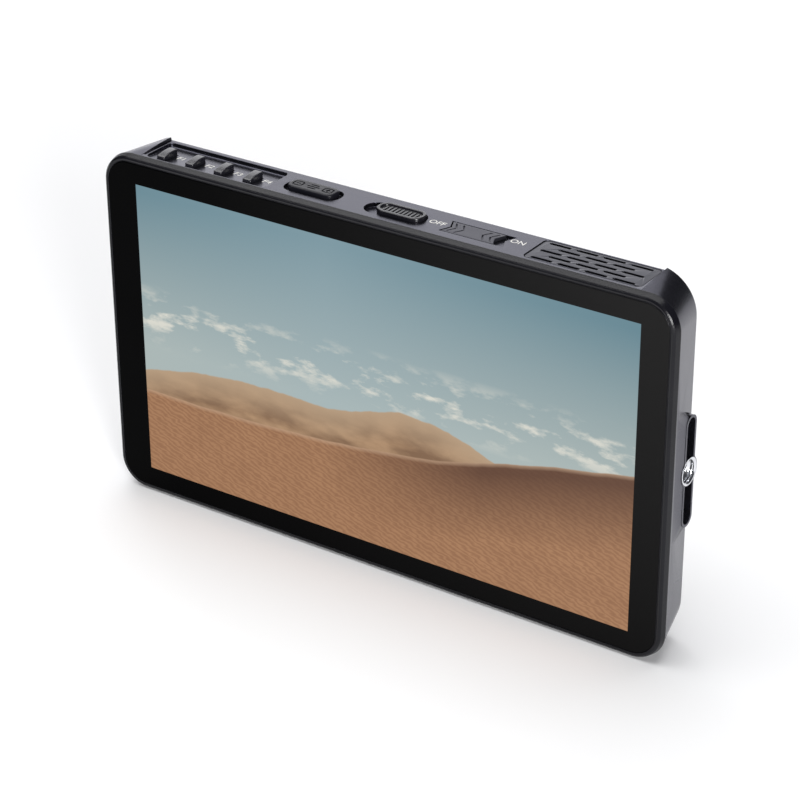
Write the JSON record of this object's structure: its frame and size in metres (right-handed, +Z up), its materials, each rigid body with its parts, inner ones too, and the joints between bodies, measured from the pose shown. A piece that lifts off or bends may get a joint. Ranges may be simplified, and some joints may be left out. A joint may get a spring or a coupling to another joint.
{
  "type": "camera field monitor",
  "caption": "Slim on-camera field monitor with glass front, keys, rocker, slides and vent grille on top, threaded side and bottom mounts, and a battery plate behind.",
  "frame": {"origin": "under the middle of the bounding box, on the surface that the monitor stands on", "axes": "X to the right of a viewer who faces the screen, Y from the glass to the back, Z up"},
  "size_m": [0.1508, 0.0226, 0.0887],
  "materials": {
    "frame_plastic": "fine-grained black moulded plastic",
    "cover_glass": "smooth cover glass with a black printed border",
    "black_tape": "matt black tape",
    "clear_bond": "clear bond",
    "display_cell": "lit display behind the glass",
    "light_guide": "clear moulded sheet",
    "led_strip": "strip of light sources",
    "sheet_steel": "plain sheet metal",
    "housing_metal": "satin dark bluish grey paint",
    "circuit_board": "green circuit board",
    "switch_steel": "small switches",
    "key_plastic": "satin dark grey moulded plastic",
    "button_plastic": "satin black moulded plastic",
    "slide_plastic": "satin black moulded plastic",
    "power_slide_plastic": "satin grey moulded plastic",
    "pin_steel": "turned steel pin",
    "insert_chrome": "bright plated threaded insert",
    "heat_sink_aluminium": "extruded fins",
    "chip_plastic": "moulded chip packages",
    "post_brass": "turned brass",
    "ribbon_film": "amber film",
    "port_steel": "folded plated steel",
    "jack_plastic": "black moulded plastic",
    "back_plastic": "fine-grained black moulded plastic",
    "plate_plastic": "glass-filled black plastic",
    "contact_brass": "gold-plated contact blades",
    "latch_plastic": "satin black plastic",
    "screw_steel": "blackened steel"
  },
  "bodies": {
    "monitor_body": {"front_frame": "frame_plastic", "cover_glass": "cover_glass", "glass_tape": "black_tape", "clear_bond": "clear_bond", "display_cell": "display_cell", "backlight_tray": "sheet_steel", "light_guide": "light_guide", "led_strip": "led_strip", "mid_plate": "sheet_steel", "rear_housing": "housing_metal", "vent_grille": "housing_metal", "key_board": "circuit_board", "key_switches": "switch_steel", "rocker_pin": "pin_steel", "thumb_switch": "switch_steel", "power_switch": "switch_steel", "side_insert_right": "insert_chrome", "side_insert_left": "insert_chrome", "bottom_insert": "insert_chrome", "heat_sink": "heat_sink_aluminium", "main_board": "circuit_board", "board_chips": "chip_plastic", "board_posts": "post_brass", "display_ribbon": "ribbon_film", "video_input_port": "port_steel", "video_output_port": "port_steel", "usb_port": "port_steel", "headphone_jack": "jack_plastic", "back_cover": "back_plastic", "battery_plate": "plate_plastic", "contact_block": "plate_plastic", "contact_blades": "contact_brass", "latch_guide": "sheet_steel", "back_screws": "screw_steel", "case_screws": "screw_steel"},
    "function_key_1_body": {"function_key_1": "key_plastic"},
    "function_key_2_body": {"function_key_2": "key_plastic"},
    "function_key_3_body": {"function_key_3": "key_plastic"},
    "function_key_4_body": {"function_key_4": "key_plastic"},
    "rocker_button_body": {"rocker_button": "button_plastic"},
    "thumb_slide_body": {"thumb_slide": "slide_plastic"},
    "power_slide_body": {"power_slide": "power_slide_plastic"},
    "battery_latch_body": {"battery_latch": "latch_plastic"}
  },
  "joints": [
    {"name": "function_key_1_press", "type": "slide", "parent": "monitor_body", "child": "function_key_1_body", "axis": [0, 0, -1], "range_m": [0, 0.0005], "stiffness_N_per_m": 600},
    {"name": "function_key_2_press", "type": "slide", "parent": "monitor_body", "child": "function_key_2_body", "axis": [0, 0, -1], "range_m": [0, 0.0005], "stiffness_N_per_m": 600},
    {"name": "function_key_3_press", "type": "slide", "parent": "monitor_body", "child": "function_key_3_body", "axis": [0, 0, -1], "range_m": [0, 0.0005], "stiffness_N_per_m": 600},
    {"name": "function_key_4_press", "type": "slide", "parent": "monitor_body", "child": "function_key_4_body", "axis": [0, 0, -1], "range_m": [0, 0.0005], "stiffness_N_per_m": 600},
    {"name": "rocker_tilt", "type": "hinge", "parent": "monitor_body", "child": "rocker_button_body", "pos_m": [-0.0203, -0.00405, 0.0842], "axis": [0, 1, 0], "range_deg": [-3, 3], "stiffness_Nm_per_rad": 0.02},
    {"name": "thumb_slide_travel", "type": "slide", "parent": "monitor_body", "child": "thumb_slide_body", "axis": [-1, 0, 0], "range_m": [0, 0.003]},
    {"name": "power_slide_travel", "type": "slide", "parent": "monitor_body", "child": "power_slide_body", "axis": [1, 0, 0], "range_m": [0, 0.0022]},
    {"name": "battery_latch_press", "type": "slide", "parent": "monitor_body", "child": "battery_latch_body", "axis": [0, -1, 0], "range_m": [0, 0.0018], "stiffness_N_per_m": 800}
  ]
}
